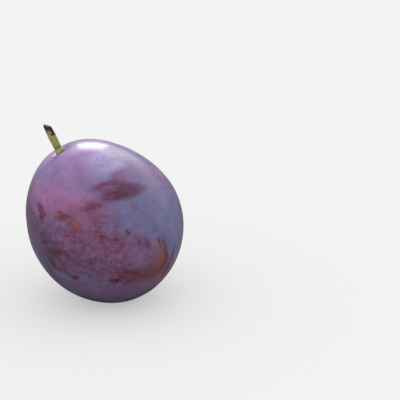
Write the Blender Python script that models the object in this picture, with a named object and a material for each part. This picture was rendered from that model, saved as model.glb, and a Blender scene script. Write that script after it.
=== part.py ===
"""A whole European plum with its short stalk, lying on the small pressed spot that it rests on.

Run it with blender --background --python part.py, or from the text editor. Metres, +Z up.
The origin is the middle of the pressed spot. The stalk leans towards -X.

The fruit is modelled in its own axes: Z runs from the blossom end up to the stalk, with its zero
half way along the fruit, and X points at the suture, the shallow seam down one side.
"""

import math

import bmesh
import bpy
from mathutils import Matrix, Vector

# How the fruit lies
LEAN = math.radians(29)  # of its axis from upright, towards -X
SUTURE_TURN = math.radians(20)  # of its suture about the axis, from the upper side to the back
PRESS_DEPTH = 0.0009  # how far its weight has flattened the underside

# The fruit's outline
FRUIT_LENGTH = 0.052
FRUIT_WIDTH = 0.0465
STALK_END_TAPER = 0.04  # narrower towards the stalk, fuller towards the blossom end
BOTH_ENDS_TAPER = 0.06
BELLY = 0.0006  # how far the middle bows towards the suture
SHOULDER_FLATTENING = 0.04  # of the suture side, below the stalk
SHOULDER_POLAR = math.radians(62)
SHOULDER_POLAR_SPREAD = math.radians(34)
SHOULDER_TURN_SPREAD = math.radians(60)

# Its hollows
SUTURE_DEPTH = 0.0003
SUTURE_HALF_WIDTH = 0.0021
CAVITY_DEPTH = 0.0013  # where the stalk stands
CAVITY_RADIUS = 0.0032
BLOSSOM_DIMPLE_DEPTH = 0.0005
BLOSSOM_DIMPLE_RADIUS = 0.0022

# The stalk
STALK_LENGTH = 0.0086
STALK_BOW = 0.00025  # how far its middle curves away from the suture
STALK_FOOT_RADIUS = 0.0015
STALK_SHANK_RADIUS = 0.00114
STALK_TIP_RADIUS = 0.00094
STALK_FOOT_LENGTH = 0.0011  # over which the flared foot narrows to the shank
STALK_NODE_PLACE = 0.64  # of the way up, where an old bud scar thickens it
STALK_NODE_SWELL = 0.00008
STALK_NODE_HALF_LENGTH = 0.0007
GAP = 0.0003  # kept between the stalk's foot and the skin

# How finely the skin and the stalk are divided
SKIN_MERIDIANS = 72
SKIN_RINGS = 40
CUT_SNAP = 0.0002  # corners this near the flat's cut are moved onto it, so it leaves no slivers
RING_CROWDING = 0.07  # of the rings towards both ends
MERIDIAN_CROWDING = 0.35  # of the meridians towards the suture
STALK_STEPS = 20


def bell(x):
    """A bell-shaped hump: 1 at 0, falling to nothing past about 2."""
    return math.exp(-x * x)


def clear_scene():
    for obj in list(bpy.data.objects):
        bpy.data.objects.remove(obj, do_unlink=True)


def material(name, colour, roughness):
    made = bpy.data.materials.new(name)
    made.use_nodes = True
    shader = made.node_tree.nodes["Principled BSDF"]
    shader.inputs["Base Color"].default_value = (*colour, 1)
    shader.inputs["Roughness"].default_value = roughness
    shader.inputs["Metallic"].default_value = 0
    return made


def skin_point(polar, turn):
    """The skin's point at an angle from the stalk end and a turn about the axis from the suture.

    An ellipsoid with tapered ends, flattened on the suture side's shoulder, with a seam along
    the suture and a hollow at each end.
    """
    across = math.sin(polar)
    along = math.cos(polar)
    radius = FRUIT_WIDTH / 2 * across * (1 - STALK_END_TAPER * along - BOTH_ENDS_TAPER * along**2)
    shoulder = bell(turn / SHOULDER_TURN_SPREAD) * bell((polar - SHOULDER_POLAR) / SHOULDER_POLAR_SPREAD)
    radius *= 1 - SHOULDER_FLATTENING * shoulder
    radius -= SUTURE_DEPTH * across * bell(radius * turn / SUTURE_HALF_WIDTH)
    height = FRUIT_LENGTH / 2 * along
    if along > 0:
        height -= CAVITY_DEPTH * bell(radius / CAVITY_RADIUS)
    else:
        height += BLOSSOM_DIMPLE_DEPTH * bell(radius / BLOSSOM_DIMPLE_RADIUS)
    return Vector((radius * math.cos(turn) + BELLY * across**2, radius * math.sin(turn), height))


def eased_angles(direction):
    """The polar angle and the turn that a vertex of the unit sphere is moved to."""
    share = math.acos(max(-1.0, min(1.0, direction.z))) / math.pi
    polar = math.pi * (share - RING_CROWDING * math.sin(math.tau * share))
    even_turn = math.atan2(direction.y, direction.x)
    turn = even_turn - MERIDIAN_CROWDING * math.sin(even_turn)
    return polar, turn


def make_fruit(lying, skin):
    """The fruit: a sphere drawn out to the skin's shape, then cut flat where it rests.

    lying turns the fruit's own axes into the way it lies. Returns the place of the fruit's
    middle, measured from the middle of the flat.
    """
    mesh = bpy.data.meshes.new("fruit")
    bm = bmesh.new()
    bmesh.ops.create_uvsphere(bm, u_segments=SKIN_MERIDIANS, v_segments=SKIN_RINGS, radius=1)
    for vertex in bm.verts:
        vertex.co = lying @ skin_point(*eased_angles(vertex.co.normalized()))
    rest_height = min(vertex.co.z for vertex in bm.verts) + PRESS_DEPTH
    cut = bmesh.ops.bisect_plane(
        bm,
        geom=bm.verts[:] + bm.edges[:] + bm.faces[:],
        dist=CUT_SNAP,
        plane_co=(0, 0, rest_height),
        plane_no=(0, 0, 1),
        clear_inner=True,
    )
    rim = [edge for edge in cut["geom_cut"] if isinstance(edge, bmesh.types.BMEdge)]
    flat = bmesh.ops.contextual_create(bm, geom=rim)["faces"][0]
    for vertex in flat.verts:
        vertex.co.z = rest_height
    for edge in flat.edges:
        edge.smooth = False
    middle = -flat.calc_center_bounds()
    bmesh.ops.translate(bm, vec=middle, verts=bm.verts)
    bmesh.ops.recalc_face_normals(bm, faces=bm.faces)
    bm.to_mesh(mesh)
    bm.free()
    mesh.shade_smooth()
    mesh.materials.append(skin)
    bpy.context.scene.collection.objects.link(bpy.data.objects.new("fruit", mesh))
    return middle


def stalk_radius(distance):
    """The stalk's radius at a distance up from its foot: flared foot, even shank, swollen node."""
    to_tip = distance / STALK_LENGTH
    shank = STALK_SHANK_RADIUS + (STALK_TIP_RADIUS - STALK_SHANK_RADIUS) * to_tip**4
    flare = (STALK_FOOT_RADIUS - STALK_SHANK_RADIUS) * bell(distance / STALK_FOOT_LENGTH)
    from_node = (distance - STALK_NODE_PLACE * STALK_LENGTH) / STALK_NODE_HALF_LENGTH
    return shank + flare + STALK_NODE_SWELL * bell(from_node)


def foot_height():
    """Where the stalk's foot stands: a gap above the hollow's floor at the foot's rim."""
    floor = FRUIT_LENGTH / 2 - CAVITY_DEPTH
    rise_at_rim = CAVITY_DEPTH * (1 - bell(STALK_FOOT_RADIUS / CAVITY_RADIUS))
    return floor + rise_at_rim + GAP


def make_stalk(placing, bark):
    """The stalk: a round curve of varying thickness, drawn in the fruit's own axes.

    placing puts the fruit's own axes where the fruit lies.
    """
    curve = bpy.data.curves.new("stalk", "CURVE")
    curve.dimensions = "3D"
    curve.bevel_depth = 1
    curve.bevel_resolution = 4
    curve.use_fill_caps = True
    spline = curve.splines.new("POLY")
    spline.points.add(STALK_STEPS)
    for step, point in enumerate(spline.points):
        share = step / STALK_STEPS
        bow = 4 * STALK_BOW * share * (1 - share)
        point.co = (-bow, 0, foot_height() + share * STALK_LENGTH, 1)
        point.radius = stalk_radius(share * STALK_LENGTH)
    stalk = bpy.data.objects.new("stalk", curve)
    curve.materials.append(bark)
    bpy.context.scene.collection.objects.link(stalk)
    stalk.matrix_world = placing


def main():
    clear_scene()
    lying = Matrix.Rotation(-LEAN, 3, "Y") @ Matrix.Rotation(SUTURE_TURN, 3, "Z")
    skin = material("skin", (0.16, 0.11, 0.24), 0.35)
    bark = material("stalk", (0.21, 0.24, 0.08), 0.6)
    middle = make_fruit(lying, skin)
    make_stalk(Matrix.Translation(middle) @ lying.to_4x4(), bark)


main()
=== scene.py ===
import math

import bpy
import numpy as np
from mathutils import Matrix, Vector


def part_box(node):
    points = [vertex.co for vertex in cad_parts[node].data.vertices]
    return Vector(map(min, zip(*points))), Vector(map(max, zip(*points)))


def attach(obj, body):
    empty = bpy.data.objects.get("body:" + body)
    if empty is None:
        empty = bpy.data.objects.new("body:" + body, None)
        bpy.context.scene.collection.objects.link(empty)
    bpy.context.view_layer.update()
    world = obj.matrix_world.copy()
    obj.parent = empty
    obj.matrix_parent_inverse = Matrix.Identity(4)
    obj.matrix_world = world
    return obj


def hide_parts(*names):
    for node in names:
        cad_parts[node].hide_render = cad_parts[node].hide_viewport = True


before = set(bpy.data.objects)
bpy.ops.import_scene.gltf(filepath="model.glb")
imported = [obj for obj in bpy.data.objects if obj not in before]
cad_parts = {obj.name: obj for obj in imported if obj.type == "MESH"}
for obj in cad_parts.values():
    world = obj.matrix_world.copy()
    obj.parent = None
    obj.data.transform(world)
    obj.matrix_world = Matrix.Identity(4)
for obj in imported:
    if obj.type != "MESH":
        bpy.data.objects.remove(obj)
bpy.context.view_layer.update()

# ---- The fruit ------------------------------------------------------------------------------
# A ripe blue plum: one egg-shaped body with a thin skin. It leans on the spot where its weight
# has pressed the skin flat. Its own axes have Z from the blossom end up to the stalk, and X
# towards the suture, the shallow seam where the flower's one leaf closed around the stone.

FRUIT_LENGTH = 0.052
FRUIT_WIDTH = 0.0465
STALK_END_TAPER = 0.04
BOTH_ENDS_TAPER = 0.06
BELLY = 0.0006
LEAN = math.radians(29)
SUTURE_TURN = math.radians(20)
FLATTENING = 0.04
FLATTENED_POLAR, FLATTENED_POLAR_SPREAD = math.radians(62), math.radians(34)
FLATTENED_TURN_SPREAD = math.radians(60)
SUTURE_DEPTH, SUTURE_HALF_WIDTH = 0.0003, 0.0021
CAVITY_DEPTH, CAVITY_RADIUS = 0.0013, 0.0032
DIMPLE_DEPTH, DIMPLE_RADIUS = 0.0005, 0.0022
PRESS_SOFTNESS = 0.00012  # how gently the skin rounds into the pressed spot
LUMP_HEIGHT, LUMP_SIZE = 0.00007, 0.006  # the slight unevenness that all grown skin has
NOISE_CELLS = 64  # after how many cubes the noise repeats
NOISE_START = 500  # keeps the counted cubes above zero
SKIN_RINGS, SKIN_MERIDIANS = 210, 440


def bell(x):
    """A bell-shaped hump: 1 at 0, falling to nothing past about 2."""
    return np.exp(-x * x)


def turn_about(axis, angle):
    """The matrix that turns a row of coordinates about Y or Z by an angle."""
    cosine, sine = math.cos(angle), math.sin(angle)
    if axis == "Y":
        return np.array([[cosine, 0, sine], [0, 1, 0], [-sine, 0, cosine]])
    return np.array([[cosine, -sine, 0], [sine, cosine, 0], [0, 0, 1]])


LYING = turn_about("Y", -LEAN) @ turn_about("Z", SUTURE_TURN)


def fruit_surface(polar, turn):
    """Points of the skin, in the lie of the fruit, about its middle.

    polar is the angle from the stalk end and turn the angle about the axis from the suture. The
    radius is a circle's, narrowed by cos(polar) and its square, flattened on the shoulder below
    the stalk and cut by a bell-shaped seam; the height is half the length times cos(polar), less
    a bell-shaped hollow at each end; the belly bows towards the suture by sin(polar) squared.
    """
    across, along = np.sin(polar), np.cos(polar)
    turn = (turn + np.pi) % math.tau - np.pi
    radius = FRUIT_WIDTH / 2 * across * (1 - STALK_END_TAPER * along - BOTH_ENDS_TAPER * along**2)
    shoulder = bell((polar - FLATTENED_POLAR) / FLATTENED_POLAR_SPREAD)
    shoulder = bell(turn / FLATTENED_TURN_SPREAD) * shoulder
    radius = radius * (1 - FLATTENING * shoulder)
    radius = radius - SUTURE_DEPTH * across * bell(radius * turn / SUTURE_HALF_WIDTH)
    height = FRUIT_LENGTH / 2 * along
    height = height - CAVITY_DEPTH * bell(radius / CAVITY_RADIUS) * (along > 0)
    height = height + DIMPLE_DEPTH * bell(radius / DIMPLE_RADIUS) * (along <= 0)
    own = np.stack([radius * np.cos(turn) + BELLY * across**2, radius * np.sin(turn), height], -1)
    return own @ LYING.T


def soft_noise(points, size, seed):
    """Smooth noise from -1 to 1: random values at the corners of cubes, blended in between."""
    lattice = np.random.default_rng(seed).uniform(-1, 1, (NOISE_CELLS,) * 3)
    scaled = np.asarray(points) / size + NOISE_START
    cell = np.floor(scaled).astype(int)
    part = scaled - cell
    part = part * part * (3 - 2 * part)
    total = 0
    for corner in np.ndindex(2, 2, 2):
        weight = np.prod(np.where(np.array(corner) == 1, part, 1 - part), -1)
        i, j, k = np.moveaxis((cell + corner) % NOISE_CELLS, -1, 0)
        total = total + weight * lattice[i, j, k]
    return total


def grid_mesh(name, rows, start, end):
    """A closed mesh from rings of points: each ring is joined to the next, and the first and last
    are closed by a fan to the points start and end. rows is an array of rings x points x 3."""
    rings, around, _ = rows.shape
    vertices = np.concatenate([rows.reshape(-1, 3), [start, end]])
    ring, step = np.meshgrid(np.arange(rings - 1), np.arange(around), indexing="ij")
    after = (step + 1) % around
    corners = (ring * around + step, (ring + 1) * around + step,
               (ring + 1) * around + after, ring * around + after)
    quads = np.stack(corners, -1).reshape(-1, 4)
    one, two = np.arange(around), (np.arange(around) + 1) % around
    last = (rings - 1) * around
    first_fan = np.stack([np.full(around, rings * around), one, two], -1)
    last_fan = np.stack([np.full(around, rings * around + 1), last + two, last + one], -1)
    faces = quads.tolist() + first_fan.tolist() + last_fan.tolist()
    mesh = bpy.data.meshes.new(name)
    mesh.from_pydata(vertices.tolist(), [], faces)
    mesh.shade_smooth()
    piece = bpy.data.objects.new(name, mesh)
    bpy.context.scene.collection.objects.link(piece)
    return piece


def fruit_place():
    """The fruit's middle in the frame: where the skin's highest, leftmost and rightmost points
    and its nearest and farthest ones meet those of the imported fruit's box."""
    every_degree = np.radians(np.arange(361))
    polar, turn = np.meshgrid(every_degree[:181], every_degree, indexing="ij")
    points = fruit_surface(polar, turn).reshape(-1, 3)
    low, high = (np.array(corner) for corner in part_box("fruit"))
    middle = (low + high) / 2 - (points.min(0) + points.max(0)) / 2
    middle[2] = high[2] - points[:, 2].max()
    return middle


MIDDLE = fruit_place()
polar = np.linspace(0, np.pi, SKIN_RINGS + 2)[1:-1]
turn = np.linspace(0, math.tau, SKIN_MERIDIANS + 1)[:-1]
polar_grid, turn_grid = np.meshgrid(polar, turn, indexing="ij")
skin = fruit_surface(polar_grid, turn_grid)
outward = skin / np.linalg.norm(skin, axis=-1, keepdims=True)
skin = skin + outward * (LUMP_HEIGHT * soft_noise(skin, LUMP_SIZE, 3))[..., None] + MIDDLE
skin[..., 2] = PRESS_SOFTNESS * np.logaddexp(0, skin[..., 2] / PRESS_SOFTNESS)
ends = fruit_surface(np.array([0, np.pi]), np.zeros(2)) + MIDDLE
fruit = grid_mesh("plum_skin", skin, ends[0], ends[1])

# The skin's colour comes from two things that vary over it: how thick the bloom is, from 0 where
# it is rubbed off to 1 where it is whole, and how rosy the skin under it has ripened.

BLOOM_USUAL, BLOOM_WANDER, BLOOM_WANDER_SIZE = 0.64, 0.34, 0.009
ROSY_USUAL, ROSY_WANDER, ROSY_WANDER_SIZE = 0.28, 0.5, 0.013
RAGGED, RAGGED_SIZE = 0.0011, 0.004  # how far a patch's outline strays, and how broadly
RAGGED_FINER, RAGGED_FINER_SIZE = 0.4, RAGGED_SIZE / 3  # a weaker, finer straying on top of it
STROKE_THROUGH = 0.012  # half of how deep a stroke reaches, so that it keeps to its own side
# Each patch runs between two places on the skin, given by polar and turn angles in degrees:
# from polar, turn, to polar, turn, half width in mm, softness, bloom, rosy
PATCHES = (
    (18, -30, 45, -150, 7.0, 0.5, 0.84, 0.5),  # lilac upper front
    (6, -150, 22, -90, 4.5, 0.6, 0.88, 0.42),
    (40, -160, 55, -110, 3.2, 0.6, 0.92, 0.85),  # pink cheek
    (53, -127, 62, -97, 3.0, 0.6, 0.84, 0.85),
    (48, -180, 78, -156, 4.5, 0.5, 0.33, 0.35),  # thin bloom towards the side
    (46, -76, 53, -54, 2.4, 0.4, 1.1, 0.3),  # thick pale patch
    (55, -44, 82, -42, 3.2, 0.6, 0.72, 0.4),
    (76, -170, 106, -166, 3.2, 0.5, 0.35, 0.1),  # the side below, in its own shade
    (72, -85, 101, -50, 6.5, 0.4, 0.63, 0.0),  # slate blue side
    (83, -55, 122, -50, 5.5, 0.5, 0.75, -0.05),
    (70, -134, 104, -104, 7.5, 0.45, 0.42, 0.78),  # flecked rosy band
    (80, -152, 88, -140, 1.9, 0.6, 0.2, 0.6),
    (88, -146, 106, -112, 4.5, 0.6, 0.36, 0.6),
    (110, -158, 138, -112, 5.0, 0.5, 0.6, 0.4),  # lower front
    (116, -112, 131, -76, 3.0, 0.5, 0.2, 1.1),  # red skin under the russet patch
    (62, -137, 67, -131, 1.6, 0.6, 0.65, 0.5),  # smaller thick and thin places
    (68, -152, 82, -152, 2.6, 0.6, 0.18, 0.35),
    (42, -172, 52, -152, 2.4, 0.7, 0.72, 0.7),
    (38, -28, 72, -20, 4.0, 0.6, 0.62, 0.05),
    (87, -156, 96, -149, 2.0, 0.6, 0.25, 0.45),
    (85, -108, 92, -104, 2.2, 0.6, 0.28, 0.9),
    (96, -88, 105, -82, 2.2, 0.7, 0.45, 0.45),
    (54, -90, 62, -67, 1.5, 0.6, 0.25, 1.0),  # rubbed streaks
    (55, -66, 66, -62, 2.2, 0.9, 0.6, 0.45),
    (63, -86, 72, -62, 1.9, 0.6, 0.15, 0.9),
    (62, -110, 66, -96, 1.0, 0.6, 0.15, 1.1),
    (66, -107, 72, -98, 2.6, 0.8, 0.35, 1.0),
    (30, 60, 62, 130, 6.0, 0.5, 0.9, 0.45),  # the far side
    (66, 40, 84, 96, 3.4, 0.5, 0.38, 0.85),
    (60, 118, 72, 138, 1.8, 0.6, 0.1, 0.9),
    (88, 60, 118, 128, 6.5, 0.5, 0.75, 0.05),
    (96, 4, 124, 30, 4.5, 0.5, 0.5, 0.7),
    (112, 62, 120, 92, 1.5, 0.6, 0.15, 0.9),
    (146, 160, 156, 160, 5.5, 0.4, 0.3, 0.5),  # the pressed spot
)
# from polar, turn, to polar, turn, half width in mm, softness of the places with the most flecks
FLECKED = (
    (72, -132, 106, -104, 8.5, 0.4),
    (100, -150, 118, -112, 4.0, 0.5),
    (70, 36, 96, 110, 7.0, 0.5),
)
FLECKED_USUAL, FLECKED_WANDER, FLECKED_WANDER_SIZE = 0.3, 0.25, 0.011
SEAM_HALF_WIDTH, SEAM_RUBBED = 0.0007, 0.35  # the suture's line, a little barer than its sides
SEAM_USUAL, SEAM_WANDER, SEAM_WANDER_SIZE = 0.7, 0.5, 0.0035  # of how much of that shows


def on_skin(polar, turn):
    """A place on the skin, from its angles in degrees."""
    return fruit_surface(np.radians(float(polar)), np.radians(float(turn))) + MIDDLE


def stroke_axes(polar_from, turn_from, polar_to, turn_to, half_width):
    """The middle of a stroke drawn between two places on the skin, and its three half axes, each
    divided by its own square, so that a dot product with it is 1 at the stroke's edge."""
    start, end = on_skin(polar_from, turn_from), on_skin(polar_to, turn_to)
    middle = on_skin((polar_from + polar_to) / 2, (turn_from + turn_to) / 2)
    half_width = half_width / 1000
    half_length = np.linalg.norm(end - start) / 2 + half_width
    out = (middle - MIDDLE) / np.linalg.norm(middle - MIDDLE)
    along = (end - start) / np.linalg.norm(end - start)
    across = np.cross(out, along)
    return middle, along / half_length, across / half_width, out / STROKE_THROUGH


def stroke_mask(points, row, softness):
    """1 inside a stroke and 0 outside, with a soft edge: the points' distance from the stroke's
    middle, counted in its own half axes, is 1 along the edge."""
    middle, along, across, out = stroke_axes(*row)
    away = points - middle
    reach = np.sqrt((away @ along) ** 2 + (away @ across) ** 2 + (away @ out) ** 2)
    inside = np.clip((1 + softness - reach) / (2 * softness), 0, 1)
    return inside * inside * (3 - 2 * inside)


points = np.concatenate([skin.reshape(-1, 3), ends])
stray = np.stack([soft_noise(points, RAGGED_SIZE, seed) for seed in (11, 12, 13)], -1)
finer = np.stack([soft_noise(points, RAGGED_FINER_SIZE, seed) for seed in (14, 15, 16)], -1)
ragged_points = points + RAGGED * (stray + RAGGED_FINER * finer)
bloom = BLOOM_USUAL + BLOOM_WANDER * soft_noise(points, BLOOM_WANDER_SIZE, 21)
rosy = ROSY_USUAL + ROSY_WANDER * soft_noise(points, ROSY_WANDER_SIZE, 22)
for *row, softness, bloom_there, rosy_there in PATCHES:
    weight = stroke_mask(ragged_points, row, softness)
    bloom = bloom + weight * (bloom_there - bloom)
    rosy = rosy + weight * (rosy_there - rosy)
from_suture = (turn_grid + np.pi) % math.tau - np.pi
across_seam = np.sin(polar_grid) * FRUIT_WIDTH / 2 * from_suture
seam = np.append(bell(across_seam / SEAM_HALF_WIDTH), (0, 0))
seam_shows = SEAM_USUAL + SEAM_WANDER * soft_noise(points, SEAM_WANDER_SIZE, 24)
bloom = bloom - SEAM_RUBBED * seam * seam_shows
flecked = FLECKED_USUAL + FLECKED_WANDER * soft_noise(points, FLECKED_WANDER_SIZE, 23)
for *row, softness in FLECKED:
    flecked = np.maximum(flecked, stroke_mask(ragged_points, row, softness))
for name, values in (("bloom", bloom), ("rosy", rosy), ("flecked", flecked)):
    layer = fruit.data.attributes.new(name, "FLOAT", "POINT")
    layer.data.foreach_set("value", values.astype(np.float32))


def add(tree, kind, values=(), **settings):
    """A new node. values gives what its inputs take, by name or number: another node's output is
    linked, and anything else is set. settings are the node's own properties."""
    node = tree.nodes.new(kind)
    for key, value in settings.items():
        setattr(node, key, value)
    for key, value in dict(values).items():
        if isinstance(value, bpy.types.NodeSocket):
            tree.links.new(value, node.inputs[key])
        else:
            node.inputs[key].default_value = value
    return node


def maths(tree, operation, one, two=0.0, clamp=False):
    """The output of a Math node."""
    return add(tree, "ShaderNodeMath", {0: one, 1: two}, operation=operation, use_clamp=clamp).outputs[0]


def vector_maths(tree, operation, one, two=(0, 0, 0)):
    """The vector output of a Vector Math node."""
    return add(tree, "ShaderNodeVectorMath", {0: one, 1: two}, operation=operation).outputs[0]


def step_between(tree, value, low, high, new_low=0.0, new_high=1.0):
    """The output of a smooth step: new_low below low, new_high above high."""
    values = {"Value": value, "From Min": low, "From Max": high, "To Min": new_low, "To Max": new_high}
    return add(tree, "ShaderNodeMapRange", values, interpolation_type="SMOOTHSTEP").outputs[0]


def blend(tree, share, one, two):
    """The colour one turning into the colour two as share goes from 0 to 1."""
    return add(tree, "ShaderNodeMix", {0: share, 6: one, 7: two}, data_type="RGBA").outputs[2]


def noise(tree, where, size, detail=2.0, roughness=0.5, output=0):
    """Cloudy noise from 0 to 1, its main features about size metres across."""
    values = {"Vector": where, "Scale": 1 / size, "Detail": detail, "Roughness": roughness}
    return add(tree, "ShaderNodeTexNoise", values).outputs[output]


def swing(tree, value, by):
    """A value from 0 to 1 turned into one from -by to by."""
    return maths(tree, "MULTIPLY", maths(tree, "SUBTRACT", value, 0.5), 2 * by)


def stroke_group():
    """Builds the node group that masks one stroke on a surface: the distance of Position from
    Middle, counted along Along, Across and Out, gives 1 inside 1 - Softness and 0 past 1 + it."""
    group = bpy.data.node_groups.new("stroke", "ShaderNodeTree")
    for name in ("Position", "Middle", "Along", "Across", "Out"):
        group.interface.new_socket(name, in_out="INPUT", socket_type="NodeSocketVector")
    group.interface.new_socket("Softness", in_out="INPUT", socket_type="NodeSocketFloat")
    group.interface.new_socket("Mask", in_out="OUTPUT", socket_type="NodeSocketFloat")
    given = group.nodes.new("NodeGroupInput").outputs
    away = vector_maths(group, "SUBTRACT", given["Position"], given["Middle"])
    joined = group.nodes.new("ShaderNodeCombineXYZ")
    for number, name in enumerate(("Along", "Across", "Out")):
        dot = add(group, "ShaderNodeVectorMath", {0: away, 1: given[name]}, operation="DOT_PRODUCT")
        group.links.new(dot.outputs["Value"], joined.inputs[number])
    length = add(group, "ShaderNodeVectorMath", {0: joined.outputs[0]}, operation="LENGTH")
    inner = maths(group, "SUBTRACT", 1.0, given["Softness"])
    outer = maths(group, "ADD", 1.0, given["Softness"])
    mask = step_between(group, length.outputs["Value"], inner, outer, 1.0, 0.0)
    group.links.new(mask, group.nodes.new("NodeGroupOutput").inputs["Mask"])
    return group


STROKE = stroke_group()


def marks(tree, position, softness, rows):
    """One mask for a list of strokes, each from polar, turn, to polar, turn, half width in mm."""
    mask = 0.0
    for row in rows:
        middle, along, across, out = stroke_axes(*row)
        values = {"Position": position, "Softness": softness}
        values.update({"Middle": middle, "Along": along, "Across": across, "Out": out})
        stroke = add(tree, "ShaderNodeGroup", values, node_tree=STROKE)
        mask = maths(tree, "MAXIMUM", stroke.outputs["Mask"], mask)
    return mask


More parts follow.
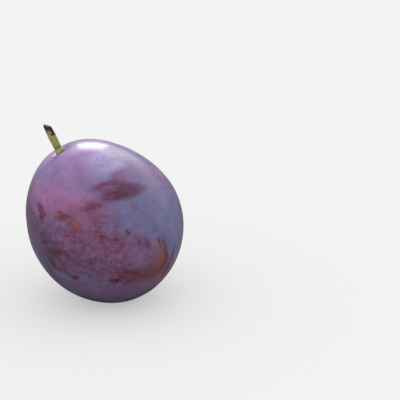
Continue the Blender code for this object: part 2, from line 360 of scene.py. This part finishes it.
# What has marked the skin, with a painted glint, painted shade, painted sheen and a painted glow among
# the
# marks: colour, how much of it shows, the edge's softness, how far the mark stands proud from -1 to 1,
# and its strokes, in whole degrees
MARKS = {
    # The first stroke is a thicker, paler patch of bloom; the second is a painted glow, pale lilac
    # painted just below the highlight.
    "thick bloom and painted glow": ((0.42, 0.39, 0.62, 1), 0.8, 0.7, 0, (
        (48, -69, 52, -54, 1.9),
        (38, -68, 44, -48, 2.2))),
    # painted sheen: a pale grey-lilac patch to the right of the highlight, where its shine spreads
    "painted sheen": ((0.42, 0.38, 0.5, 1), 0.55, 0.8, 0, ((48, -38, 60, -36, 2.8),)),
    # painted glint: a small near-white highlight painted into the hollow beside the stalk's foot,
    # slightly raised
    "painted glint by the foot": ((0.8, 0.76, 0.84, 1), 0.8, 0.6, 0.3, ((4, 155, 6, 190, 0.45),)),
    # painted shade: a dark arc on the far side of the hollow round the stalk's foot
    "painted shade in the hollow": ((0.2, 0.11, 0.25, 1), 0.7, 0.6, 0, ((10, -135, 13, -118, 0.4),)),
    "blush": ((0.4, 0.16, 0.33, 1), 0.8, 0.8, 0, ((10, 22, 17, -24, 1.2),)),
    "worn": ((0.33, 0.28, 0.38, 1), 0.6, 0.8, 0, ((60, -40, 84, -50, 2.4),)),
    "flush": ((0.38, 0.13, 0.24, 1), 0.6, 0.7, 0, (
        (56, -124, 61, -116, 1.6),
        (63, -116, 70, -114, 1.7),
        (65, -112, 71, -112, 1.2))),
    "rubbed": ((0.09, 0.025, 0.06, 1), 0.88, 0.7, 0, (
        (64, -84, 70, -69, 1.6),
        (67, -82, 70, -75, 1.3))),
    "rubbed thinly": ((0.16, 0.08, 0.16, 1), 0.7, 0.7, 0, ((67, -73, 72, -61, 1.4),)),
    "rubbed red": ((0.16, 0.055, 0.11, 1), 0.75, 0.7, 0, ((54, -88, 61, -71, 0.65),)),
    "wine": ((0.17, 0.035, 0.1, 1), 0.9, 0.7, 0, ((63, -108, 66, -96, 0.8),)),
    "brown stain": ((0.07, 0.03, 0.035, 1), 0.8, 0.6, 0, (
        (79, -154, 83, -150, 1.0),
        (82, -150, 82, -142, 0.7))),
    "brown streak": ((0.065, 0.03, 0.02, 1), 0.92, 0.6, 0, ((85, -158, 92, -157, 0.8),)),
    "maroon stain": ((0.17, 0.055, 0.1, 1), 0.7, 0.7, 0, (
        (83, -142, 88, -137, 1.2),
        (79, -126, 86, -119, 0.6),
        (73, -133, 74, -128, 0.45),
        (79, -130, 79, -128, 0.4),
        (83, -124, 85, -119, 0.5))),
    "blue haze": ((0.3, 0.225, 0.37, 1), 0.65, 0.8, 0, ((107, -94, 117, -93, 1.9),)),
    "red stain": ((0.2, 0.08, 0.1, 1), 0.75, 0.7, 0, (
        (117, -108, 129, -99, 1.6),
        (120, -95, 136, -79, 1.8),
        (123, -89, 124, -76, 1.6))),
    "rust": ((0.31, 0.125, 0.15, 1), 0.8, 0.6, 0, (
        (113, -78, 123, -81, 1.5),
        (112, -74, 127, -78, 1.7))),
    "rust edge": ((0.11, 0.035, 0.045, 1), 0.9, 0.6, 0, (
        (113, -69, 127, -70, 0.8),
        (107, -73, 113, -73, 0.5),
        (110, -69, 115, -70, 0.4))),
    "rust core": ((0.28, 0.12, 0.065, 1), 0.85, 0.7, 0.3, ((116, -73, 127, -77, 1.1),)),
    "rust foot": ((0.18, 0.06, 0.055, 1), 0.85, 0.6, 0, ((130, -82, 128, -72, 1.1),)),
    "umber haze": ((0.26, 0.15, 0.18, 1), 0.45, 0.8, 0, ((138, -98, 139, -80, 1.8),)),
    "dark edge": ((0.075, 0.055, 0.075, 1), 0.85, 0.6, 0, (
        (125, -59, 132, -63, 0.9),
        (132, -64, 139, -72, 1.0))),
    "scar": ((0.28, 0.08, 0.12, 1), 0.9, 0.5, 0.4, (
        (57, -132, 61, -127, 0.75),
        (60, -128, 64, -122, 0.8),
        (64, -123, 70, -122, 1.25),
        (69, -123, 73, -121, 1.15))),
    "scar top": ((0.22, 0.04, 0.07, 1), 0.9, 0.5, 0.4, (
        (60, -134, 61, -128, 0.7),
        (62, -133, 62, -130, 0.5))),
    "scar crust": ((0.35, 0.12, 0.12, 1), 0.8, 0.7, 0.5, ((67, -122, 70, -121, 0.6),)),
    "scar end": ((0.27, 0.06, 0.12, 1), 0.85, 0.6, 0.3, ((71, -123, 74, -121, 0.8),)),
    "scar crack": ((0.13, 0.03, 0.045, 1), 0.55, 0.8, -0.5, (
        (60, -127, 63, -123, 0.35),
        (57, -131, 58, -129, 0.3))),
    "tick": ((0.14, 0.065, 0.18, 1), 0.8, 0.6, -0.3, (
        (65, -134, 68, -136, 0.26),
        (68, -133, 69, -134, 0.22),
        (68, -137, 69, -137, 0.25))),
    "pink spot": ((0.36, 0.09, 0.2, 1), 0.7, 0.6, 0, (
        (49, -133, 52, -134, 0.35),
        (41, -144, 42, -142, 0.4),
        (46, -142, 46, -141, 0.35),
        (56, -120, 57, -119, 0.35))),
    "wound rim": ((0.34, 0.2, 0.4, 1), 0.7, 0.5, 0.4, ((50, -154, 60, -153, 1.5),)),
    "wound": ((0.1, 0.035, 0.09, 1), 0.9, 0.4, -0.5, (
        (50, -154, 55, -151, 1.2),
        (55, -151, 59, -153, 1.2),
        (55, -150, 56, -148, 0.6),
        (56, -156, 59, -155, 0.5))),
    "wound core": ((0.19, 0.03, 0.035, 1), 0.9, 0.6, -0.8, (
        (52, -152, 58, -152, 0.7),
        (55, -150, 56, -149, 0.4))),
    "wound crust": ((0.32, 0.1, 0.06, 1), 0.8, 0.7, 0.3, ((51, -152, 54, -151, 0.4),)),
    "pit": ((0.06, 0.035, 0.085, 1), 0.9, 0.6, -0.8, (
        (89, -91, 91, -91, 0.5),
        (73, -157, 73, -154, 0.6),
        (81, 74, 82, 75, 0.4))),
    "dark spot": ((0.115, 0.015, 0.02, 1), 0.92, 0.5, -0.4, (
        (101, -146, 102, -143, 0.8),
        (115, -120, 117, -117, 0.85),
        (104, 100, 106, 101, 0.5))),
    "blossom scar": ((0.17, 0.11, 0.07, 1), 0.85, 0.6, 0.6, ((178, 0, 182, 0, 0.7),)),
    "maroon spot": ((0.12, 0.035, 0.085, 1), 0.75, 0.6, 0, (
        (102, -82, 107, -83, 0.6),
        (99, -87, 101, -88, 0.4))),
}

BLOOM_BLUE, BLOOM_ROSE = (0.265, 0.262, 0.51, 1), (0.46, 0.18, 0.43, 1)
SKIN_BLUE, SKIN_RED = (0.055, 0.03, 0.075, 1), (0.13, 0.03, 0.055, 1)
FLECK_SIZE, FLECK_SWING = 0.0015, 0.64
FLECK_HUE = 0.7  # how much rosier the skin looks where a fleck thins the bloom
CLOUD_SIZE, CLOUD_SWING = 0.0036, 0.3  # broader thick and thin places in the bloom
HUE_SIZE, HUE_SWING = 0.0028, 0.5  # rosier and bluer places
HUE_CALM = 0.35  # how much of that shows where the skin has no flecks
GRAIN_SIZE, GRAIN_SWING = 0.0003, 0.2
BRUSHED = (0.006, 0.0006, 0.0006)  # the size of the fine streaks that rubbing leaves
BRUSH_SWING = 0.3
BRUSH_BARE, BRUSH_WHOLE = 0.25, 0.75  # the bloom at which all of them show, and at which few do
BRUSH_LEAST = 0.15
BROKEN_SIZE = 0.0011  # of the flakes of bloom left across the marks
BROKEN_FROM, BROKEN_TO, BROKEN_LEAST = 0.4, 0.56, 0.5  # the least of a mark that shows through
MARK_STRAY, MARK_STRAY_SIZE = 0.0004, 0.0008
LENTICEL_SPACING, LENTICEL_RADIUS = 0.001, 0.13  # pale pores; the radius counts in spacings
LENTICEL_SHOWS = 0.42
LENTICEL_CORE = 0.4  # of a pore's radius, where it is palest
ROUGH_BARE, ROUGH_BLOOM = 0.36, 0.62
ROUGH_FROM, ROUGH_TO = 0.0, 0.9  # the thickness of bloom over which the skin turns rough
MARK_ROUGHER = 0.15
RELIEF = 0.00012  # of the marks, above or below the skin
BLOOM_RELIEF = 0.06  # share of that which whole bloom adds
SKIN_SPECULAR = 0.16
SKIN_COAT, SKIN_COAT_ROUGH = 0.5, 0.21  # the waxy shine over the bloom

skin_finish = bpy.data.materials.new("bloomed_skin")
skin_finish.use_nodes = True
tree = skin_finish.node_tree
shader = tree.nodes["Principled BSDF"]
place = add(tree, "ShaderNodeTexCoord").outputs["Object"]
field = {}
for name in ("bloom", "rosy", "flecked"):
    field[name] = add(tree, "ShaderNodeAttribute", attribute_name=name).outputs["Fac"]

flecks = swing(tree, noise(tree, place, FLECK_SIZE, detail=4.0, roughness=0.62), FLECK_SWING)
flecks = maths(tree, "MULTIPLY", flecks, field["flecked"])
grain = swing(tree, noise(tree, place, GRAIN_SIZE), GRAIN_SWING)
brush_place = vector_maths(tree, "DIVIDE", place, BRUSHED)
brushing = swing(tree, noise(tree, brush_place, 1.0, detail=3.0), BRUSH_SWING)
bareness = step_between(tree, field["bloom"], BRUSH_BARE, BRUSH_WHOLE, 1.0, BRUSH_LEAST)
brushing = maths(tree, "MULTIPLY", brushing, bareness)
pores = {"Vector": place, "Scale": 1 / LENTICEL_SPACING}
pores = add(tree, "ShaderNodeTexVoronoi", pores).outputs["Distance"]
lenticels = step_between(tree, pores, LENTICEL_CORE * LENTICEL_RADIUS, LENTICEL_RADIUS, 1.0, 0.0)
lenticels = maths(tree, "MULTIPLY", lenticels, LENTICEL_SHOWS)
clouds = swing(tree, noise(tree, place, CLOUD_SIZE, detail=3.0), CLOUD_SWING)
thickness = field["bloom"]
for change in (flecks, clouds, grain, brushing):
    thickness = maths(tree, "ADD", thickness, change)
thickness = maths(tree, "ADD", thickness, lenticels, clamp=True)
hue = swing(tree, noise(tree, place, HUE_SIZE, detail=3.0, roughness=0.6), HUE_SWING)
hue_shows = step_between(tree, field["flecked"], 0.0, 1.0, HUE_CALM, 1.0)
hue = maths(tree, "MULTIPLY", hue, hue_shows)
rosier = maths(tree, "MULTIPLY", flecks, FLECK_HUE)
rosy_share = maths(tree, "SUBTRACT", field["rosy"], rosier)
rosy_share = maths(tree, "ADD", rosy_share, hue, clamp=True)
skin_colour = blend(tree, rosy_share, SKIN_BLUE, SKIN_RED)
bloom_colour = blend(tree, rosy_share, BLOOM_BLUE, BLOOM_ROSE)
colour = blend(tree, thickness, skin_colour, bloom_colour)

straying = noise(tree, place, MARK_STRAY_SIZE, output=1)
straying = vector_maths(tree, "SUBTRACT", straying, (0.5, 0.5, 0.5))
straying = vector_maths(tree, "MULTIPLY", straying, (2 * MARK_STRAY,) * 3)
mark_place = vector_maths(tree, "ADD", place, straying)
roughness = step_between(tree, thickness, ROUGH_FROM, ROUGH_TO, ROUGH_BARE, ROUGH_BLOOM)
broken = noise(tree, place, BROKEN_SIZE, detail=4.0, roughness=0.65)
broken = step_between(tree, broken, BROKEN_FROM, BROKEN_TO, BROKEN_LEAST, 1.0)
height = maths(tree, "MULTIPLY", thickness, BLOOM_RELIEF)
for mark_colour, share, softness, proud, rows in MARKS.values():
    mask = marks(tree, mark_place, softness, rows)
    shown = maths(tree, "MULTIPLY", maths(tree, "MULTIPLY", mask, share), broken)
    colour = blend(tree, shown, colour, mark_colour)
    if proud:
        rougher = maths(tree, "MULTIPLY", mask, MARK_ROUGHER)
        roughness = maths(tree, "ADD", roughness, rougher, clamp=True)
        height = maths(tree, "ADD", height, maths(tree, "MULTIPLY", mask, proud))
bump = add(tree, "ShaderNodeBump", {"Strength": 1.0, "Distance": RELIEF, "Height": height})
tree.links.new(colour, shader.inputs["Base Color"])
tree.links.new(roughness, shader.inputs["Roughness"])
tree.links.new(bump.outputs["Normal"], shader.inputs["Normal"])
shader.inputs["Specular IOR Level"].default_value = SKIN_SPECULAR
shader.inputs["Coat Weight"].default_value = SKIN_COAT
shader.inputs["Coat Roughness"].default_value = SKIN_COAT_ROUGH
fruit.data.materials.append(skin_finish)
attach(fruit, "root")
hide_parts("fruit")

# ---- The stalk ------------------------------------------------------------------------------
# A short woody stem, thick as a match, with a flared foot in the fruit's hollow. It snapped off
# the spur at its old joint, where it has dried dark.

STALK_LENGTH = 0.0086
FOOT_RADIUS, SHANK_RADIUS, TIP_RADIUS = 0.0015, 0.00114, 0.00094
FOOT_LENGTH, FOOT_LEAN, FOOT_LOBES = 0.0011, 0.9, 0.3  # the foot spreads more towards +X, in lobes
LOBE_COUNT, LOBE_TURN = 3, 1.2
NODE_PLACE, NODE_SWELL, NODE_HALF_LENGTH = 0.64, 0.00008, 0.0007
CREASE_PLACE = 0.2  # where it would part from the fruit
CREASE_DEPTH, CREASE_HALF_LENGTH = 0.00007, 0.00022
OVERLENGTH = 0.0011  # of the side where it broke furthest up
TIP_SLANT = 0.0013  # how much less far up it broke on the other side
TIP_SHIFT = 0.0009  # of the tip, back towards upright
TIP_ROUNDING, TIP_ROUNDED_FROM = 0.26, 0.92  # how much narrower the last of it is, and from where
FIBRE_HEIGHT, FIBRE_SIZE, FIBRE_STRETCH = 0.00004, 0.00033, 0.12
SHRIVEL_HEIGHT, SHRIVEL_SIZE, SHRIVEL_AT_FOOT = 0.00009, 0.0008, 0.25
STALK_RINGS, STALK_MERIDIANS = 130, 96
CAP_SCALES = (0.96, 0.86, 0.68, 0.45, 0.22)  # of the rings that close the broken tip
CAP_HOLLOW = 0.00018  # how deep its middle has sunk
FOOT_CLEARANCE = 0.0001  # of the foot's middle above the deepest of the hollow
FOOT_HEIGHT = FRUIT_LENGTH / 2 - CAVITY_DEPTH + FOOT_CLEARANCE


def stalk_surface(share, side):
    """Points of the stalk's side in the fruit's own axes: share goes from the foot to the tip and
    side is the turn about it, from +X as the fruit lies.

    A tube whose radius is the shank's, plus bell-shaped swellings at the foot and the node, less
    a bell-shaped crease above the foot, plus noise drawn out along the fibres and a broader noise
    that grows with the fifth power of the share. The last of it narrows. Its length falls by the
    slant times half of 1 + cos(side), and its middle shifts evenly towards the suture.
    """
    distance = share * (STALK_LENGTH + OVERLENGTH - TIP_SLANT * (0.5 + 0.5 * np.cos(side)))
    radius = SHANK_RADIUS + (TIP_RADIUS - SHANK_RADIUS) * share**4
    spread = 1 + FOOT_LEAN * np.cos(side) + FOOT_LOBES * np.cos(LOBE_COUNT * side + LOBE_TURN)
    radius = radius + (FOOT_RADIUS - SHANK_RADIUS) * bell(distance / FOOT_LENGTH) * spread
    radius = radius + NODE_SWELL * bell((distance - NODE_PLACE * STALK_LENGTH) / NODE_HALF_LENGTH)
    radius = radius - CREASE_DEPTH * bell((distance - CREASE_PLACE * STALK_LENGTH) / CREASE_HALF_LENGTH)
    angle = side - SUTURE_TURN
    round_it = np.stack([np.cos(angle), np.sin(angle), 0 * angle], -1)
    on_axis = np.stack([0 * distance, 0 * distance, distance], -1)
    straight = SHANK_RADIUS * round_it + on_axis
    fibres = soft_noise(straight * (1, 1, FIBRE_STRETCH), FIBRE_SIZE, 31)
    shrivelled = SHRIVEL_AT_FOOT + (1 - SHRIVEL_AT_FOOT) * share**5
    shrivelled = shrivelled * soft_noise(straight, SHRIVEL_SIZE, 32)
    radius = radius + FIBRE_HEIGHT * fibres + SHRIVEL_HEIGHT * shrivelled
    rounded = np.clip((share - TIP_ROUNDED_FROM) / (1 - TIP_ROUNDED_FROM), 0, 1) ** 2.5
    radius = radius * (1 - TIP_ROUNDING * rounded)
    foot = np.stack([TIP_SHIFT * share, 0 * distance, 0 * distance + FOOT_HEIGHT], -1)
    return radius[..., None] * round_it + on_axis + foot


stalk_rings = np.linspace(0, 1, STALK_RINGS)
stalk_meridians = np.linspace(0, math.tau, STALK_MERIDIANS + 1)[:-1]
stalk_share, stalk_side = np.meshgrid(stalk_rings, stalk_meridians, indexing="ij")
sides = stalk_surface(stalk_share, stalk_side)
tip_middle = sides[-1].mean(0)
scales = np.array(CAP_SCALES)[:, None, None]
cap = tip_middle + scales * (sides[-1] - tip_middle)
cap_rise = SHRIVEL_HEIGHT * soft_noise(cap, SHRIVEL_SIZE / 2, 33)
cap[..., 2] += cap_rise - CAP_HOLLOW * (1 - scales[..., 0] ** 2)
own_points = np.concatenate([sides, cap])
tube = own_points @ LYING.T + MIDDLE
stalk = grid_mesh("stalk_wood", tube[::-1], tube[-1].mean(0), tube[0].mean(0))

# How the stalk has dried, from 0 to 1: dark is dead wood, green is still living bark, red the
# last of the dying tissue below the tip, and pale the corky skin of the foot. Each spot has its
# strength, share of the way up, turn in degrees, half length as a share and half turn in degrees.

DEAD_FROM, DEAD_OVER = 0.84, 0.1
DARK_SPOTS = (
    (1.0, 0.69, -60, 0.05, 40),
    (1.3, 0.8, -20, 0.1, 50),
    (0.9, 0.84, 175, 0.08, 30),
    (-0.9, 0.86, -135, 0.06, 22),
    (0.65, 0.2, -80, 0.045, 60),
    (0.5, 0.26, -60, 0.03, 50),
    (0.55, 0.45, 165, 0.4, 28),
    (0.4, 0.08, -40, 0.05, 18),
    (0.6, 0.03, -90, 0.03, 200),
    (0.5, 0.7, 120, 0.1, 50),
)
GREEN_SPOTS = ((1.2, 0.45, -35, 0.24, 50), (0.5, 0.1, -30, 0.12, 40), (0.5, 0.4, 70, 0.3, 60))
RED_SPOTS = ((1.2, 0.86, -135, 0.1, 30), (0.5, 0.8, 60, 0.08, 40))
PALE_SPOTS = ((0.9, 0.09, -95, 0.06, 26), (0.5, 0.1, 100, 0.08, 60))


def spotted(spots):
    """The sum of spots on the stalk's side, each its strength times a bell along the stalk and a
    bell round it."""
    total = 0
    for strength, place, turned, half_length, half_turn in spots:
        away = (stalk_side - math.radians(turned) + np.pi) % math.tau - np.pi
        spot = bell((stalk_share - place) / half_length) * bell(away / math.radians(half_turn))
        total = total + strength * spot
    return total


dark = np.clip((stalk_share - DEAD_FROM) / DEAD_OVER + 0.5, 0, 1) + spotted(DARK_SPOTS)
green, red, pale = spotted(GREEN_SPOTS), spotted(RED_SPOTS), spotted(PALE_SPOTS)
for name, values, at_cap in (("dark", dark, 1), ("green", green, 0), ("red", red, 0), ("pale", pale, 0)):
    values = np.concatenate([values, np.full((len(CAP_SCALES), STALK_MERIDIANS), at_cap)])[::-1]
    values = np.concatenate([values.reshape(-1), [at_cap, values[-1].mean()]])
    layer = stalk.data.attributes.new(name, "FLOAT", "POINT")
    layer.data.foreach_set("value", values.astype(np.float32))

BARK_OLIVE, BARK_GREEN = (0.52, 0.48, 0.16, 1), (0.28, 0.4, 0.13, 1)
BARK_DEAD, BARK_RED = (0.035, 0.025, 0.018, 1), (0.17, 0.03, 0.028, 1)
BARK_CORKY, BARK_GROOVE = (0.58, 0.54, 0.34, 1), (0.09, 0.075, 0.03, 1)
BARK_GREY = (0.1, 0.085, 0.11, 1)  # weathered film on the dead tip
BARK_SPECULAR = 0.35
BLOTCHES_IN_GREEN, THREADS_IN_CORK, BLOTCHES_IN_DEAD = 0.6, 0.4, 0.7  # how far each breaks the edge
GROOVES_FROM, GROOVES_TO, GROOVES_SHOW = 0.34, 0.56, 0.45  # the dark lines between the threads
RED_MOST = 0.9
DEAD_LOW, DEAD_HIGH = 0.15, 0.95
FILM_FROM, FILM_TO = 0.52, 0.68
BARK_ROUGH_FROM, BARK_ROUGH_TO = 0.3, 0.7  # from the grooves to the tops of the threads
BARK_ROUGH_GROOVE, BARK_ROUGH_THREAD = 0.75, 0.5
BLOTCH_RELIEF = 0.6  # of the blotches, beside that of the threads
THREAD_SIZES = (0.00022, 0.00022, 0.003)  # of the fine threads along the bark
BLOTCH_SIZE = 0.0009
BARK_RELIEF = 0.00006

wood = bpy.data.materials.new("dried_stalk")
wood.use_nodes = True
tree = wood.node_tree
shader = tree.nodes["Principled BSDF"]
place = add(tree, "ShaderNodeTexCoord").outputs["Object"]
zone = {}
for name in ("dark", "green", "red", "pale"):
    zone[name] = add(tree, "ShaderNodeAttribute", attribute_name=name).outputs["Fac"]
upright = {"Vector": place, "Rotation": (0, LEAN, 0)}
upright = add(tree, "ShaderNodeMapping", upright, vector_type="POINT").outputs[0]
thread_place = vector_maths(tree, "DIVIDE", upright, THREAD_SIZES)
threads = noise(tree, thread_place, 1.0, detail=4.0, roughness=0.6)
blotches = noise(tree, place, BLOTCH_SIZE, detail=4.0, roughness=0.65)
greenness = maths(tree, "ADD", zone["green"], swing(tree, blotches, BLOTCHES_IN_GREEN), clamp=True)
colour = blend(tree, greenness, BARK_OLIVE, BARK_GREEN)
corkiness = maths(tree, "ADD", zone["pale"], swing(tree, threads, THREADS_IN_CORK), clamp=True)
colour = blend(tree, corkiness, colour, BARK_CORKY)
grooves = step_between(tree, threads, GROOVES_FROM, GROOVES_TO, GROOVES_SHOW, 0.0)
colour = blend(tree, grooves, colour, BARK_GROOVE)
colour = blend(tree, maths(tree, "MINIMUM", zone["red"], RED_MOST), colour, BARK_RED)
deadness = maths(tree, "ADD", zone["dark"], swing(tree, blotches, BLOTCHES_IN_DEAD))
deadness = step_between(tree, deadness, DEAD_LOW, DEAD_HIGH)
film = step_between(tree, blotches, FILM_FROM, FILM_TO)
film = blend(tree, film, BARK_DEAD, BARK_GREY)
colour = blend(tree, deadness, colour, film)
roughness = (BARK_ROUGH_FROM, BARK_ROUGH_TO, BARK_ROUGH_GROOVE, BARK_ROUGH_THREAD)
roughness = step_between(tree, threads, *roughness)
height = maths(tree, "ADD", threads, maths(tree, "MULTIPLY", blotches, BLOTCH_RELIEF))
bump = add(tree, "ShaderNodeBump", {"Strength": 1.0, "Distance": BARK_RELIEF, "Height": height})
tree.links.new(colour, shader.inputs["Base Color"])
tree.links.new(roughness, shader.inputs["Roughness"])
tree.links.new(bump.outputs["Normal"], shader.inputs["Normal"])
shader.inputs["Specular IOR Level"].default_value = BARK_SPECULAR
stalk.data.materials.append(wood)
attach(stalk, "root")
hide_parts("stalk")

# ---- The table and the light ------------------------------------------------------------------
# A plain pale table top under a soft panel above and behind the plum and a wider, dimmer one
# around it, with an even pale room around. The camera sees the table glow evenly; the fruit gets
# a dimmer light back from it.

TABLE_HALF_WIDTH = 3.0
TABLE_LOOK = (0.5, 0.5, 0.5)
TABLE_GLOW = 0.42
TABLE_BOUNCE = (0.26, 0.25, 0.22)  # what the table sends back up onto the fruit

bpy.ops.mesh.primitive_plane_add(size=2 * TABLE_HALF_WIDTH)
table = bpy.context.object
table.name = "table"
table_top = bpy.data.materials.new("table_top")
table_top.use_nodes = True
nodes, links = table_top.node_tree.nodes, table_top.node_tree.links
shader = nodes["Principled BSDF"]
shader.inputs["Base Color"].default_value = (*TABLE_LOOK, 1)
shader.inputs["Roughness"].default_value = 1
shader.inputs["Specular IOR Level"].default_value = 0
shader.inputs["Emission Color"].default_value = (1, 1, 1, 1)
shader.inputs["Emission Strength"].default_value = TABLE_GLOW
bounce = nodes.new("ShaderNodeBsdfDiffuse")
bounce.inputs["Color"].default_value = (*TABLE_BOUNCE, 1)
seen = nodes.new("ShaderNodeLightPath")
mix = nodes.new("ShaderNodeMixShader")
links.new(seen.outputs["Is Camera Ray"], mix.inputs[0])
links.new(bounce.outputs[0], mix.inputs[1])
links.new(shader.outputs[0], mix.inputs[2])
links.new(mix.outputs[0], nodes["Material Output"].inputs["Surface"])
table.data.materials.append(table_top)

ROOM_LIGHT = 0.95
PANEL_ELEVATION = math.radians(38)
PANEL_TURN = math.radians(1)  # of the panel from straight behind, towards +X
PANEL_DISTANCE, PANEL_SIZE, PANEL_POWER = 1.0, (0.36, 0.46), 5.6
HALO_ELEVATION, HALO_TURN = math.radians(42), math.radians(6)
HALO_DISTANCE, HALO_SIZE, HALO_POWER = 1.3, (1.1, 0.9), 6.5  # the softer light around the panel
ROOM_GLOSS = 0.25  # the room's light as the fruit mirrors it

world = bpy.data.worlds.new("room")
world.use_nodes = True
mirrored = add(world.node_tree, "ShaderNodeLightPath").outputs["Is Glossy Ray"]
strength = step_between(world.node_tree, mirrored, 0.0, 1.0, ROOM_LIGHT, ROOM_GLOSS)
world.node_tree.links.new(strength, world.node_tree.nodes["Background"].inputs["Strength"])
world.node_tree.nodes["Background"].inputs["Color"].default_value = (1, 1, 1, 1)
bpy.context.scene.world = world

# The panels leave the table out, so that they cast no shadow on it.
unlit = bpy.data.collections.new("not_lit_by_the_panels")
unlit.objects.link(table)
unlit.collection_objects[0].light_linking.link_state = "EXCLUDE"


def panel(name, elevation, turned, distance, size, power, colour):
    """A rectangular soft light at a distance from the fruit, facing it."""
    light = bpy.data.lights.new(name, "AREA")
    light.shape = "RECTANGLE"
    light.size, light.size_y = size
    light.energy = power
    light.color = colour
    lamp = bpy.data.objects.new(name, light)
    level = math.cos(elevation)
    direction = Vector((math.sin(turned) * level, math.cos(turned) * level, math.sin(elevation)))
    lamp.location = Vector(MIDDLE) + direction * distance
    lamp.rotation_euler = direction.to_track_quat("Z", "Y").to_euler()
    bpy.context.scene.collection.objects.link(lamp)
    lamp.light_linking.receiver_collection = unlit


panel("back_panel", PANEL_ELEVATION, PANEL_TURN, PANEL_DISTANCE, PANEL_SIZE, PANEL_POWER, (1, 0.98, 0.95))
panel("halo_panel", HALO_ELEVATION, HALO_TURN, HALO_DISTANCE, HALO_SIZE, HALO_POWER, (1, 1, 1))

# ---- The camera -------------------------------------------------------------------------------
# It looks a little down on the fruit, and past its right side.

CAMERA_ELEVATION = math.radians(20)
CAMERA_DISTANCE = 0.389
CAMERA_PAST_RIGHT, CAMERA_PAST_TOP = 0.02955, 0.00541
LENS, FILM_WIDTH = 115.74, 36.0

towards = Vector((0, -math.cos(CAMERA_ELEVATION), math.sin(CAMERA_ELEVATION)))
upward = Vector((0, math.sin(CAMERA_ELEVATION), math.cos(CAMERA_ELEVATION)))
camera = bpy.data.objects.new("camera", bpy.data.cameras.new("camera"))
camera.data.lens = LENS
camera.data.sensor_width = FILM_WIDTH
camera.data.clip_start = 0.01
camera.location = Vector(MIDDLE) + towards * CAMERA_DISTANCE
aim = Vector(MIDDLE) + Vector((1, 0, 0)) * CAMERA_PAST_RIGHT + upward * CAMERA_PAST_TOP
camera.rotation_euler = (camera.location - aim).to_track_quat("Z", "Y").to_euler()
bpy.context.scene.collection.objects.link(camera)
bpy.context.scene.camera = camera
bpy.context.scene.view_settings.view_transform = "Standard"
